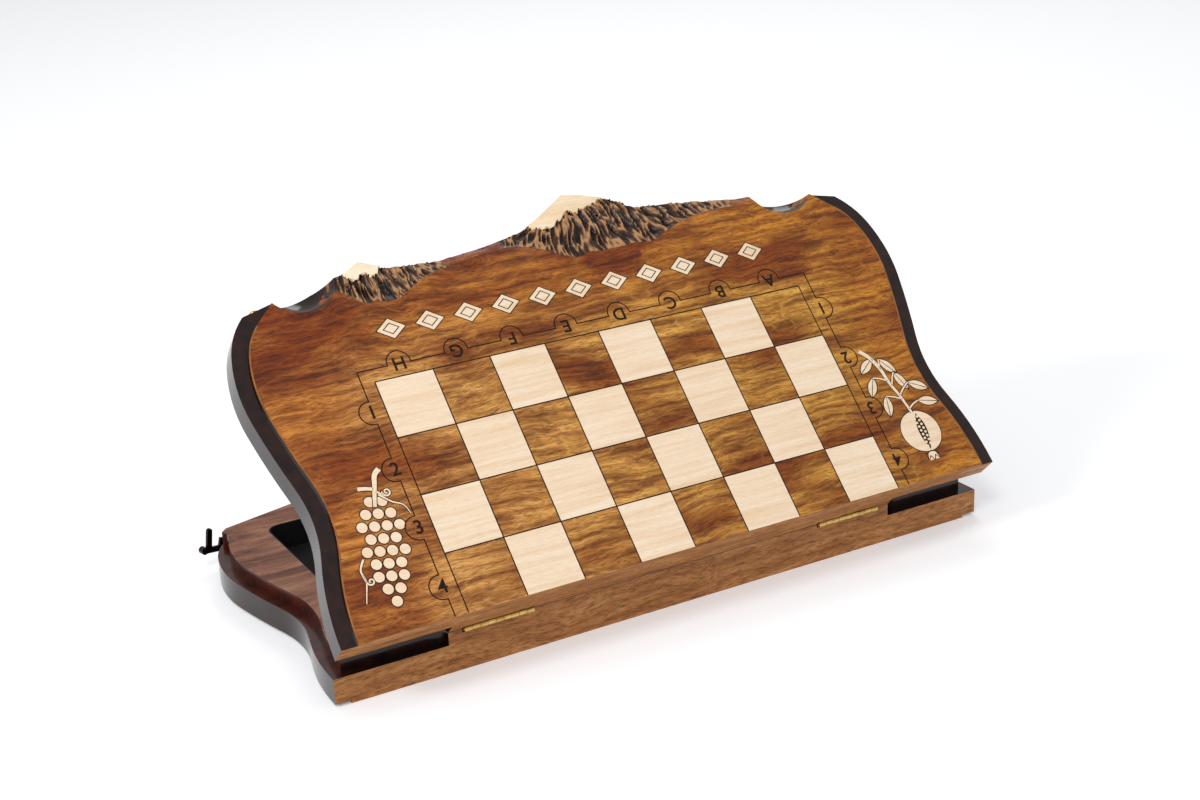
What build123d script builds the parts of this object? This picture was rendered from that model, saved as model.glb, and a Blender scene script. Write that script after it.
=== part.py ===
"""Folding wooden chess case, standing half open.

Two hollowed beech halves meet on a fold face, where two brass butt hinges join them.
The lower half lies with its playing face down, and the upper half leans open over it.
Each half has four rows of inlaid pale squares, a stepped quarter-round moulding down its
sides, a stopped rebate along the parting plane and a carved mountain ridge at the rear.
A swing hook at each rear corner of the lower half catches a stud on the upper half.

Every piece is drawn in the lower half's place, with the fold face at y = 0, the playing
face at z = 0 and the parting plane above it. A piece of the upper half is then mirrored
across the parting plane and turned open about the hinge pins.
"""

import os
from math import atan2, copysign, cos, degrees, pi, radians, sin

from build123d import *

# Chess grid
SQUARE = 50.0
COLUMNS = 8
ROWS = 4
LINE_WIDTH = 0.8
INLAY_DEPTH = 1.2
INLAY_GAP = 0.1

# One half of the case: joints of the right side's arcs, from the fold face to the rear corner
THICKNESS = 34.0
SIDE_START_ANGLE = 89.3
SIDE_JOINTS = [(302, 0), (291.9, 70.2), (290.9, 130), (304.1, 190.2), (300.7, 247.4), (281, 279)]
OVERRUN = 0.5
REAR_FOOT = (215, 295.5)
RIDGE_POINTS = [
    (183, 296),
    (143, 302),
    (122, 305),
    (86, 308),
    (66, 320),
    (41, 328.5),
    (23, 332),
    (-8.5, 314),
    (-27, 305.5),
    (-64, 298),
    (-106, 294),
    (-152, 297.5),
    (-174, 307),
    (-187, 300),
]
SCOOP_RADIUS = 34.0
SCOOP_X = 228.0
SCOOP_Y = 304.0
SCOOP_BELOW = 8.0

# Side moulding, on the playing face's side
MOULDING_WIDTH = 13.0
MOULDING_STEP = 2.5
MOULDING_RADIUS = 11.0

# Stopped rebate, on the parting plane's side
REBATE_WIDTH = 10.0
REBATE_DEPTH = 10.5
REBATE_ON_FOLD = 80.0
REBATE_REAR_STOP = 0.39
CUTTER_RADIUS = 16.0

# Pocket for the men, with its lining
POCKET_HALF_LENGTH = 253.0
POCKET_FRONT_WALL = 26.0
POCKET_BACK = 261.0
POCKET_DEPTH = 24.0
POCKET_CORNER = 12.0
LINING = 1.0
LINING_GAP = 0.1

# Straight sides that stand for the round of a small barrel, screw or stud
ROUND_SIDES = 14

# Hinges, with their pins at the fold face and the parting plane
RIM_GAP = 0.4
FOLD_GAP = 0.8
OPEN_ANGLE = 44.0
HINGE_X = 164.5
HINGE_LENGTH = 60.0
KNUCKLES = 9
KNUCKLE_GAP = 0.3
BARREL_RADIUS = 2.5
BARREL_CLEARANCE = 0.4
PIN_RADIUS = 1.2
PIN_CLEARANCE = 0.05
PIN_OVERHANG = 0.4
BARREL_END_GAP = 0.5
LEAF_THICKNESS = 1.5
LEAF_REACH = 16.0
LEAF_GAP = 0.1
LEAF_SCREW_SPACING = 22.0
LEAF_SCREW_COUNT = 3
SCREW_HEAD_RADIUS = 2.8
SCREW_HEAD_HEIGHT = 1.3
SCREW_RADIUS = 1.4
SCREW_LENGTH = 11.0
SCREW_GAP = 0.05

# Swing hooks on the slanted rear corners
LATCH_X = 264.0
LATCH_HEIGHT = 20.0
LATCH_REST_ANGLE = 8.0
PLATE_LENGTH = 30.0
PLATE_HEIGHT = 12.0
PLATE_THICKNESS = 1.2
PLATE_SCREW_SPACING = 22.0
PLATE_SCREW_HEAD = 2.1
PLATE_SCREW_RADIUS = 1.1
PLATE_SCREW_LENGTH = 8.0
HOOK_THICKNESS = 2.4
HOOK_STANDOFF = 1.5
HOOK_WIDTH = 5.0
EYE_RADIUS = 5.0
PIVOT_RADIUS = 2.0
PIVOT_DEPTH = 8.0
PIVOT_HEAD_RADIUS = 4.0
PIVOT_HEAD_HEIGHT = 1.8
HEAD_GAP = 0.3
STUD_RADIUS = 2.5
STUD_NECK = 4.4
STUD_DEPTH = 8.0
STUD_HEAD_RADIUS = 4.4
STUD_HEAD_HEIGHT = 3.0
HEAD_CROWN = 0.55
THROAT_GAP = 1.0
PRONG_LENGTH = 17.0
HORN_LENGTH = 9.0
HORN_SPREAD = 1.25
KNOB_RADIUS = 3.2
KNOB_LENGTH = 5.6

# Inlaid fruit on the upper face
GRAPE_RADIUS = 4.6
GRAPE_PITCH = 9.8
GRAPE_ROWS = [2, 3, 4, 3, 4, 3, 3, 2, 1]
BUNCH_TOP = (-236.0, 104.0)
BUNCH_FOOT = (-249.0, 24.0)
FRUIT_CENTRE = (247.0, 43.0)
FRUIT_RADIUS = 19.5
CROWN_LENGTH = 9.0
CROWN_WIDTH = 12.0
CROWN_ANGLE = 70.0
CROWN_OVERLAP = 1.0
LEAF_LENGTH = 21.0
LEAF_BOW = 4.5
LEAF_PLACES = [
    (226, 112, 35),
    (246, 108, 125),
    (222, 92, 60),
    (252, 92, 110),
    (266, 84, 150),
    (228, 72, 75),
    (268, 68, 165),
]

# Pale band of lozenges between the grid and the ridge
BAND_Y = 242.0
BAND_COUNT = 11
BAND_PITCH = 34.0
LOZENGE_LENGTH = 26.0
LOZENGE_HEIGHT = 19.0

axis_z = THICKNESS + RIM_GAP / 2
turn = radians(OPEN_ANGLE)
front_reach = -FOLD_GAP + FOLD_GAP * cos(turn) - axis_z * sin(turn)
rear_reach = max(y for _, y in RIDGE_POINTS)
centre_y = (front_reach + rear_reach) / 2
HOME = Location((0, -centre_y, 0))
PIN_AXIS = Axis((0, -FOLD_GAP, axis_z), (1, 0, 0))


def settle(part):
    """A lower piece, moved so that the origin is under the middle of the whole case."""
    return part.moved(HOME)


def lean(part):
    """An upper piece: mirrored across the parting plane, opened and moved home."""
    closed = part.mirror(Plane.XY.offset(axis_z))
    return closed.rotate(PIN_AXIS, OPEN_ANGLE).moved(HOME)


def mirrored(points):
    """The same points on the left side, in the opposite order."""
    return [(-x, y) for x, y in reversed(points)]


def side_arcs(inset=0.0):
    """The right side's tangent arcs, from the fold face to the rear corner, moved inwards."""
    along = Vector(1, 0).rotate(Axis.Z, SIDE_START_ANGLE)
    inward = Vector(-along.Y, along.X)
    start = Vector(*SIDE_JOINTS[0])
    arcs = []
    for joint in SIDE_JOINTS[1:]:
        end = Vector(*joint)
        ahead = TangentArc(start, end, tangent=along, mode=Mode.PRIVATE) % 1
        ahead_inward = Vector(-ahead.Y, ahead.X)
        inset_start = start + inward * inset
        inset_end = end + ahead_inward * inset
        arcs.append(TangentArc(inset_start, inset_end, tangent=along, mode=Mode.PRIVATE))
        start, along, inward = end, ahead, ahead_inward
    return arcs


with BuildSketch() as outline:
    with BuildLine():
        for arc in side_arcs():
            add(arc)
            add(arc.mirror(Plane.YZ))
        corner = [SIDE_JOINTS[-1], REAR_FOOT]
        Polyline(*corner, *RIDGE_POINTS, *mirrored(corner))
        Line(mirrored(SIDE_JOINTS)[-1], SIDE_JOINTS[0])
    make_face()


def inner_plan(inset):
    """The outline less a band of constant width down each side."""
    arcs = side_arcs(inset)
    first = arcs[0] @ 0
    last = arcs[-1] @ 1
    beyond = last + (arcs[-1] % 1) * SQUARE
    below = first.Y - OVERRUN
    above = rear_reach + OVERRUN
    with BuildSketch() as plan:
        with BuildLine():
            Polyline((0, below), (first.X, below), (first.X, first.Y))
            add(arcs)
            Polyline((last.X, last.Y), (beyond.X, beyond.Y), (beyond.X, above), (0, above))
            mirror(about=Plane.YZ)
        make_face()
        add(outline.sketch, mode=Mode.INTERSECT)
    return plan.sketch


def rebate_plan():
    """The strips that the rebate cutter takes from both sides and the fold face's ends."""
    widest = max(x for x, _ in SIDE_JOINTS)
    stop_x = SIDE_JOINTS[0][0] - REBATE_ON_FOLD
    rear_arc = side_arcs()[-1]
    stop = rear_arc @ REBATE_REAR_STOP
    outward = rear_arc % REBATE_REAR_STOP
    offset = CUTTER_RADIUS - REBATE_WIDTH
    rear_x = stop.X + outward.Y * offset
    rear_y = stop.Y - outward.X * offset
    with BuildSketch() as kept:
        add(inner_plan(REBATE_WIDTH))
        with Locations((stop_x + widest, REBATE_WIDTH / 2), (-stop_x - widest, REBATE_WIDTH / 2)):
            Rectangle(2 * widest, REBATE_WIDTH, mode=Mode.SUBTRACT)
        with Locations((0, stop.Y + SQUARE)):
            Rectangle(2 * widest, 2 * SQUARE)
        with Locations((stop_x, -offset), (-stop_x, -offset), (rear_x, rear_y), (-rear_x, rear_y)):
            Circle(CUTTER_RADIUS, mode=Mode.SUBTRACT)
    with BuildSketch() as strips:
        add(outline.sketch)
        add(kept.sketch, mode=Mode.SUBTRACT)
    return strips.sketch


def moulding_profile(place, along):
    """What the quarter-round cutter takes, as a section square to the side at a place."""
    spare = MOULDING_RADIUS / 2
    top = MOULDING_STEP + MOULDING_RADIUS
    with BuildSketch(Plane(origin=place, x_dir=(-along.Y, along.X, 0), z_dir=along)) as profile:
        with BuildLine():
            RadiusArc((0, top), (MOULDING_RADIUS, MOULDING_STEP), -MOULDING_RADIUS)
            Polyline(
                (MOULDING_RADIUS, MOULDING_STEP),
                (MOULDING_RADIUS, MOULDING_STEP - spare),
                (-spare, MOULDING_STEP - spare),
                (-spare, top),
                (0, top),
            )
        make_face()
    return profile.sketch


def moulding_cutter():
    """What the quarter-round cutter takes off the right side's edge, run past both ends."""
    arcs = side_arcs()
    first, last = arcs[0], arcs[-1]
    with BuildPart() as cutter:
        extrude(moulding_profile(first @ 0, first % 0), amount=-SQUARE)
        for arc in arcs:
            turned = (arc % 0).get_signed_angle(arc % 1, Vector(0, 0, 1))
            centre_line = Axis(arc.arc_center, (0, 0, copysign(1, turned)))
            profile = moulding_profile(arc @ 0, arc % 0)
            revolve(profile, axis=centre_line, revolution_arc=abs(turned))
        extrude(moulding_profile(last @ 1, last % 1), amount=SQUARE)
    return cutter.part


def square_centres(upper):
    """Centres of the pale squares. The two halves alternate across the fold."""
    parity = 1 if upper else 0
    centres = []
    for column in range(COLUMNS):
        for row in range(ROWS):
            if (column + row) % 2 == parity:
                centres.append(((column + 0.5 - COLUMNS / 2) * SQUARE, (row + 0.5) * SQUARE))
    return centres


def squares_sketch(upper, gap):
    """The pale squares' plan, less a gap all round each."""
    side_length = SQUARE - LINE_WIDTH - 2 * gap
    with BuildSketch() as plan:
        with Locations(*square_centres(upper)):
            Rectangle(side_length, side_length)
    return plan.sketch


def pocket_sketch(gap):
    """The pocket's rounded plan, less a gap all round."""
    width = 2 * (POCKET_HALF_LENGTH - gap)
    depth = POCKET_BACK - POCKET_FRONT_WALL - 2 * gap
    with BuildSketch() as plan:
        with Locations((0, (POCKET_BACK + POCKET_FRONT_WALL) / 2)):
            RectangleRounded(width, depth, POCKET_CORNER - gap)
    return plan.sketch


def corner_wall(side_sign, stand_off=0.0):
    """Plane on a slanted rear corner wall at the latch: x outwards along it, z off it."""
    corner = SIDE_JOINTS[-1]
    run = corner[0] - REAR_FOOT[0]
    fall = REAR_FOOT[1] - corner[1]
    share = (corner[0] - LATCH_X) / run
    along = Vector(side_sign * run, -fall, 0).normalized()
    away = Vector(side_sign * fall, run, 0).normalized()
    foot = Vector(side_sign * LATCH_X, corner[1] + share * fall, LATCH_HEIGHT)
    return Plane(origin=foot + away * stand_off, x_dir=along, z_dir=away)


def leaf_screw_locations(hinge_x):
    """Where one leaf's screws have their heads."""
    middle = (LEAF_SCREW_COUNT - 1) / 2
    y = (LEAF_REACH + BARREL_RADIUS) / 2
    steps = [(index - middle) * LEAF_SCREW_SPACING for index in range(LEAF_SCREW_COUNT)]
    return [Location((hinge_x + step, y, THICKNESS)) for step in steps]


def grape_centres():
    """Grape centres, in rows across the bunch from its top to its foot."""
    top = Vector(*BUNCH_TOP)
    foot = Vector(*BUNCH_FOOT)
    across = (foot - top).rotate(Axis.Z, 90).normalized()
    centres = []
    for row, count in enumerate(GRAPE_ROWS):
        middle = top + (foot - top) * (row / (len(GRAPE_ROWS) - 1))
        for index in range(count):
            centre = middle + across * (index - (count - 1) / 2) * GRAPE_PITCH
            centres.append((centre.X, centre.Y))
    return centres


def grapes_sketch(gap):
    """The grapes' discs, cut in short straight sides, less a gap all round each."""
    with BuildSketch() as plan:
        with Locations(*grape_centres()):
            RegularPolygon(GRAPE_RADIUS - gap, ROUND_SIDES)
    return plan.sketch


def pomegranate_sketch(gap):
    """The round fruit with its crown, and the pointed leaves of its branch."""
    half = LEAF_LENGTH / 2 - gap
    bow = LEAF_BOW - gap
    with BuildSketch() as plan:
        with Locations(FRUIT_CENTRE):
            Circle(FRUIT_RADIUS - gap)
        crown_y = FRUIT_CENTRE[1] - FRUIT_RADIUS - CROWN_LENGTH / 2 + CROWN_OVERLAP
        with Locations((FRUIT_CENTRE[0], crown_y)):
            Trapezoid(CROWN_WIDTH - 2 * gap, CROWN_LENGTH - 2 * gap, CROWN_ANGLE)
        for x, y, angle in LEAF_PLACES:
            leaf_plane = Plane.XY.shift_origin((x, y, 0)).rotated((0, 0, angle))
            with BuildSketch(leaf_plane, mode=Mode.PRIVATE) as leaf:
                with BuildLine():
                    ThreePointArc((-half, 0), (0, bow), (half, 0))
                    ThreePointArc((half, 0), (0, -bow), (-half, 0))
                make_face()
            add(leaf.sketch)
    return plan.sketch


def lozenges_sketch(gap):
    """A row of lozenges between the grid and the ridge."""
    half_length = LOZENGE_LENGTH / 2 - gap
    half_height = LOZENGE_HEIGHT / 2 - gap
    with BuildSketch() as plan:
        with Locations((0, BAND_Y)):
            with GridLocations(BAND_PITCH, 0, BAND_COUNT, 1):
                Polygon((half_length, 0), (0, half_height), (-half_length, 0), (0, -half_height))
    return plan.sketch


def prism(radius, bottom, top, top_radius=None):
    """An upright prism of short straight sides, straight or drawn in towards its top."""
    inwards = 0 if top_radius is None else radius - top_radius
    slope = degrees(atan2(inwards * cos(pi / ROUND_SIDES), abs(top - bottom)))
    upwards = (0, 0, copysign(1, top - bottom))
    with BuildPart() as form:
        with BuildSketch(Plane(origin=(0, 0, bottom), x_dir=(1, 0, 0), z_dir=upwards)):
            RegularPolygon(radius, ROUND_SIDES)
        extrude(amount=abs(top - bottom), taper=slope)
    return form.part


def countersunk_screw(head_radius, head_height, radius, length, gap=0.0):
    """A screw with its flat head at z = 0, or its hole with a gap."""
    with BuildPart() as screw:
        add(prism(head_radius + gap, 0, -head_height, radius + gap))
        add(prism(radius + gap, -head_height, -length - gap))
    return screw.part.solid()


def leaf_screw(gap=0.0):
    """One screw of a hinge leaf, or its hole."""
    return countersunk_screw(SCREW_HEAD_RADIUS, SCREW_HEAD_HEIGHT, SCREW_RADIUS, SCREW_LENGTH, gap)


def plate_screw(gap=0.0):
    """One screw of a hook plate, or its hole."""
    taper = PLATE_SCREW_HEAD - PLATE_SCREW_RADIUS
    return countersunk_screw(PLATE_SCREW_HEAD, taper, PLATE_SCREW_RADIUS, PLATE_SCREW_LENGTH, gap)


def plate_screw_locations(side_sign):
    """Where the two screws of a hook's plate have their heads."""
    face = corner_wall(side_sign, PLATE_THICKNESS).location
    return [face * Location((sign * PLATE_SCREW_SPACING / 2, 0, 0)) for sign in (-1, 1)]


def half_board(upper):
    """One hollowed half of the case, with every recess that its fittings need."""
    with BuildPart() as board:
        with BuildSketch(Plane.XY.offset(MOULDING_STEP)):
            add(outline.sketch)
        extrude(amount=THICKNESS - MOULDING_STEP)
        cutter = moulding_cutter()
        add(cutter, mode=Mode.SUBTRACT)
        add(cutter.mirror(Plane.YZ), mode=Mode.SUBTRACT)
        with BuildSketch():
            add(inner_plan(MOULDING_WIDTH))
        extrude(amount=MOULDING_STEP)
        with BuildSketch(Plane.XY.offset(THICKNESS)):
            add(rebate_plan())
        extrude(amount=-REBATE_DEPTH, mode=Mode.SUBTRACT)
        with BuildSketch(Plane.XY.offset(THICKNESS)):
            add(pocket_sketch(0))
        extrude(amount=-POCKET_DEPTH, mode=Mode.SUBTRACT)
        with Locations((SCOOP_X, SCOOP_Y, -SCOOP_BELOW), (-SCOOP_X, SCOOP_Y, -SCOOP_BELOW)):
            Sphere(SCOOP_RADIUS, mode=Mode.SUBTRACT)
        with BuildSketch():
            add(squares_sketch(upper, 0))
        extrude(amount=INLAY_DEPTH, mode=Mode.SUBTRACT)
        if upper:
            with BuildSketch():
                add(grapes_sketch(0))
                add(pomegranate_sketch(0))
                add(lozenges_sketch(0))
            extrude(amount=INLAY_DEPTH, mode=Mode.SUBTRACT)
        for hinge_x in (-HINGE_X, HINGE_X):
            with BuildSketch(Plane.XY.offset(THICKNESS)):
                with Locations((hinge_x, (LEAF_REACH + LEAF_GAP) / 2)):
                    Rectangle(HINGE_LENGTH + 2 * LEAF_GAP, LEAF_REACH + LEAF_GAP)
            extrude(amount=-LEAF_THICKNESS, mode=Mode.SUBTRACT)
            with Locations(Location((hinge_x, -FOLD_GAP, axis_z), (0, 90, 0))):
                groove_length = HINGE_LENGTH + 2 * (PIN_OVERHANG + BARREL_END_GAP)
                Cylinder(BARREL_RADIUS + BARREL_CLEARANCE, groove_length, mode=Mode.SUBTRACT)
            for place in leaf_screw_locations(hinge_x):
                add(leaf_screw(SCREW_GAP).moved(place), mode=Mode.SUBTRACT)
        for side_sign in (-1, 1):
            wall = corner_wall(side_sign)
            with BuildSketch(wall):
                RegularPolygon(STUD_RADIUS if upper else PIVOT_RADIUS, ROUND_SIDES)
            extrude(amount=-(STUD_DEPTH if upper else PIVOT_DEPTH), mode=Mode.SUBTRACT)
            if not upper:
                for place in plate_screw_locations(side_sign):
                    add(plate_screw(SCREW_GAP).moved(place), mode=Mode.SUBTRACT)
    return board.part


def veneer(plan):
    """Pale pieces let into the playing face."""
    with BuildPart() as pieces:
        with BuildSketch():
            add(plan)
        extrude(amount=INLAY_DEPTH)
    return pieces.part


def lining():
    """A thin felt tray that covers the pocket's floor and walls."""
    with BuildPart() as tray:
        with BuildSketch(Plane.XY.offset(THICKNESS - POCKET_DEPTH)):
            add(pocket_sketch(LINING_GAP))
        extrude(amount=POCKET_DEPTH - LINING_GAP)
        with BuildSketch(Plane.XY.offset(THICKNESS)):
            add(pocket_sketch(LINING_GAP + LINING))
        extrude(amount=LINING - POCKET_DEPTH, mode=Mode.SUBTRACT)
    return tray.part


def hinge_leaf(hinge_x, own):
    """A recessed leaf with every second knuckle, from the first or from the second."""
    pitch = HINGE_LENGTH / KNUCKLES
    first = hinge_x - HINGE_LENGTH / 2 + pitch / 2
    with BuildPart() as leaf:
        with BuildSketch(Plane.XY.offset(THICKNESS)):
            with Locations((hinge_x, (LEAF_REACH - FOLD_GAP) / 2)):
                Rectangle(HINGE_LENGTH, LEAF_REACH + FOLD_GAP)
        extrude(amount=-LEAF_THICKNESS)
        notch_depth = 2 * (BARREL_RADIUS + KNUCKLE_GAP)
        others = [first + index * pitch for index in range(KNUCKLES) if index % 2 != own]
        with Locations(*[(x, -FOLD_GAP, THICKNESS) for x in others]):
            Box(pitch + KNUCKLE_GAP, notch_depth, 2 * THICKNESS, mode=Mode.SUBTRACT)
        for index in range(own, KNUCKLES, 2):
            knuckle_start = first + index * pitch - (pitch - KNUCKLE_GAP) / 2
            with BuildSketch(Plane(origin=(knuckle_start, -FOLD_GAP, axis_z), z_dir=(1, 0, 0))):
                RegularPolygon(BARREL_RADIUS, ROUND_SIDES)
            extrude(amount=pitch - KNUCKLE_GAP)
        bore_start = Plane(origin=(hinge_x - HINGE_LENGTH, -FOLD_GAP, axis_z), z_dir=(1, 0, 0))
        with BuildSketch(bore_start):
            RegularPolygon(PIN_RADIUS + PIN_CLEARANCE, ROUND_SIDES, major_radius=False)
        extrude(amount=2 * HINGE_LENGTH, mode=Mode.SUBTRACT)
        for place in leaf_screw_locations(hinge_x):
            add(leaf_screw(SCREW_GAP).moved(place), mode=Mode.SUBTRACT)
    return leaf.part


def hinge_pin(hinge_x):
    """The pin through one hinge's knuckles."""
    with BuildPart() as pin:
        with Locations(Location((hinge_x, -FOLD_GAP, axis_z), (0, 90, 0))):
            Cylinder(PIN_RADIUS, HINGE_LENGTH + 2 * PIN_OVERHANG)
    return pin.part


def headed_pin(neck_radius, depth, neck, head_radius, head_height):
    """A pin that stands off the left corner wall and ends in a wide bevelled head."""
    bevel = neck + head_height / 2
    with BuildPart() as pin:
        add(prism(neck_radius, -depth, neck))
        add(prism(head_radius, neck, bevel))
        add(prism(head_radius, bevel, neck + head_height, head_radius * HEAD_CROWN))
    return pin.part.moved(corner_wall(-1).location)


def hook_plate():
    """The left plate that a swing hook turns on, screwed to the corner wall."""
    with BuildPart() as plate:
        with BuildSketch(corner_wall(-1)):
            SlotOverall(PLATE_LENGTH, PLATE_HEIGHT)
            RegularPolygon(PIVOT_RADIUS, ROUND_SIDES, mode=Mode.SUBTRACT)
        extrude(amount=PLATE_THICKNESS)
        for place in plate_screw_locations(-1):
            add(plate_screw(SCREW_GAP).moved(place), mode=Mode.SUBTRACT)
    return plate.part


def swing_hook():
    """The left flat hook: an eye, a dipped arm, a short horn, a tall prong and a finger knob."""
    radius = 2 * (axis_z - LATCH_HEIGHT)
    throat = STUD_RADIUS + THROAT_GAP
    dip = -throat - HOOK_WIDTH / 2
    prong_x = radius + throat + HOOK_WIDTH / 2
    horn_x = radius - throat - HOOK_WIDTH / 2
    knob_x = prong_x + HOOK_WIDTH / 2 + KNOB_RADIUS / 2
    wall = corner_wall(-1, HOOK_STANDOFF)
    tilt = radians(LATCH_REST_ANGLE)
    along = wall.x_dir * cos(tilt) + wall.y_dir * sin(tilt)
    face = Plane(origin=wall.origin, x_dir=along, z_dir=wall.z_dir)
    with BuildPart() as hook:
        with BuildSketch(face):
            with BuildLine():
                Spline((0, 0), (horn_x, dip), (prong_x, dip), tangents=((1, -1), (1, 0)))
                Line((prong_x, dip), (prong_x, dip + PRONG_LENGTH))
                Line((horn_x, dip), (horn_x - HORN_SPREAD, dip + HORN_LENGTH))
            trace(line_width=HOOK_WIDTH)
            with Locations((prong_x, dip), (prong_x, dip + PRONG_LENGTH)):
                Circle(HOOK_WIDTH / 2)
            Circle(EYE_RADIUS)
            Circle(PIVOT_RADIUS + PIN_CLEARANCE, mode=Mode.SUBTRACT)
        extrude(amount=HOOK_THICKNESS)
        with BuildSketch(face):
            with Locations((knob_x, dip)):
                Circle(KNOB_RADIUS)
        extrude(amount=KNOB_LENGTH)
    return hook.part


def on_side(part, side_name):
    """A left latch piece, or its mirror image for the right side."""
    return part if side_name == "left" else part.mirror(Plane.YZ)


def both_sides(part):
    """A left latch piece and its mirror image."""
    return [part, part.mirror(Plane.YZ)]


leaf_screw_places = leaf_screw_locations(-HINGE_X) + leaf_screw_locations(HINGE_X)

os.makedirs("parts", exist_ok=True)

with BuildPart() as lower_board:
    add(settle(half_board(False)))
lower_board.part.label = "lower_board"
export_step(lower_board.part, "parts/lower_board.step")

with BuildPart() as upper_board:
    add(lean(half_board(True)))
upper_board.part.label = "upper_board"
export_step(upper_board.part, "parts/upper_board.step")

with BuildPart() as lower_light_squares:
    add(settle(veneer(squares_sketch(False, INLAY_GAP))))
lower_light_squares.part.label = "lower_light_squares"
export_step(lower_light_squares.part, "parts/lower_light_squares.step")

with BuildPart() as upper_light_squares:
    add(lean(veneer(squares_sketch(True, INLAY_GAP))))
upper_light_squares.part.label = "upper_light_squares"
export_step(upper_light_squares.part, "parts/upper_light_squares.step")

with BuildPart() as grape_inlay:
    add(lean(veneer(grapes_sketch(INLAY_GAP))))
grape_inlay.part.label = "grape_inlay"
export_step(grape_inlay.part, "parts/grape_inlay.step")

with BuildPart() as pomegranate_inlay:
    add(lean(veneer(pomegranate_sketch(INLAY_GAP))))
pomegranate_inlay.part.label = "pomegranate_inlay"
export_step(pomegranate_inlay.part, "parts/pomegranate_inlay.step")

with BuildPart() as lozenge_inlay:
    add(lean(veneer(lozenges_sketch(INLAY_GAP))))
lozenge_inlay.part.label = "lozenge_inlay"
export_step(lozenge_inlay.part, "parts/lozenge_inlay.step")

with BuildPart() as lower_lining:
    add(settle(lining()))
lower_lining.part.label = "lower_lining"
export_step(lower_lining.part, "parts/lower_lining.step")

with BuildPart() as upper_lining:
    add(lean(lining()))
upper_lining.part.label = "upper_lining"
export_step(upper_lining.part, "parts/upper_lining.step")

for side_name, hinge_x in (("left", -HINGE_X), ("right", HINGE_X)):
    with BuildPart() as lower_leaf:
        add(settle(hinge_leaf(hinge_x, 0)))
    lower_leaf.part.label = f"{side_name}_hinge_lower_leaf"
    export_step(lower_leaf.part, f"parts/{side_name}_hinge_lower_leaf.step")

    with BuildPart() as upper_leaf:
        add(lean(hinge_leaf(hinge_x, 1)))
    upper_leaf.part.label = f"{side_name}_hinge_upper_leaf"
    export_step(upper_leaf.part, f"parts/{side_name}_hinge_upper_leaf.step")

with BuildPart() as hinge_pins:
    for hinge_x in (-HINGE_X, HINGE_X):
        add(settle(hinge_pin(hinge_x)))
hinge_pins.part.label = "hinge_pins"
export_step(hinge_pins.part, "parts/hinge_pins.step")

with BuildPart() as hinge_lower_screws:
    for place in leaf_screw_places:
        add(settle(leaf_screw().moved(place)))
hinge_lower_screws.part.label = "hinge_lower_screws"
export_step(hinge_lower_screws.part, "parts/hinge_lower_screws.step")

with BuildPart() as hinge_upper_screws:
    for place in leaf_screw_places:
        add(lean(leaf_screw().moved(place)))
hinge_upper_screws.part.label = "hinge_upper_screws"
export_step(hinge_upper_screws.part, "parts/hinge_upper_screws.step")

for side_name in ("left", "right"):
    with BuildPart() as plate:
        add(settle(on_side(hook_plate(), side_name)))
    plate.part.label = f"{side_name}_hook_plate"
    export_step(plate.part, f"parts/{side_name}_hook_plate.step")

    with BuildPart() as hook:
        add(settle(on_side(swing_hook(), side_name)))
    hook.part.label = f"{side_name}_hook"
    export_step(hook.part, f"parts/{side_name}_hook.step")

with BuildPart() as hook_plate_screws:
    for place in plate_screw_locations(-1):
        for screw in both_sides(plate_screw().moved(place)):
            add(settle(screw))
hook_plate_screws.part.label = "hook_plate_screws"
export_step(hook_plate_screws.part, "parts/hook_plate_screws.step")

pivot_neck = HOOK_STANDOFF + HOOK_THICKNESS + HEAD_GAP
left_pivot = headed_pin(PIVOT_RADIUS, PIVOT_DEPTH, pivot_neck, PIVOT_HEAD_RADIUS, PIVOT_HEAD_HEIGHT)
with BuildPart() as hook_pivots:
    for pivot in both_sides(left_pivot):
        add(settle(pivot))
hook_pivots.part.label = "hook_pivots"
export_step(hook_pivots.part, "parts/hook_pivots.step")

left_stud = headed_pin(STUD_RADIUS, STUD_DEPTH, STUD_NECK, STUD_HEAD_RADIUS, STUD_HEAD_HEIGHT)
with BuildPart() as studs:
    for stud in both_sides(left_stud):
        add(lean(stud))
studs.part.label = "studs"
export_step(studs.part, "parts/studs.step")
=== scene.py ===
"""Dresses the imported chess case: carved halves, inlay lines, fruit inlays, brass and lacquer.

Every shape is drawn in the flat place of one half, in millimetres: x along the fold, y from the
fold face to the ridge, z from the playing face into the wood. Half.LOWER and Half.UPPER then say
where that half lies in the row frame.
"""

import logging
import math
from dataclasses import dataclass, field
from enum import Enum
from typing import Callable

import bmesh
import bpy
import numpy as np
from mathutils import Matrix, Vector

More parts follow.
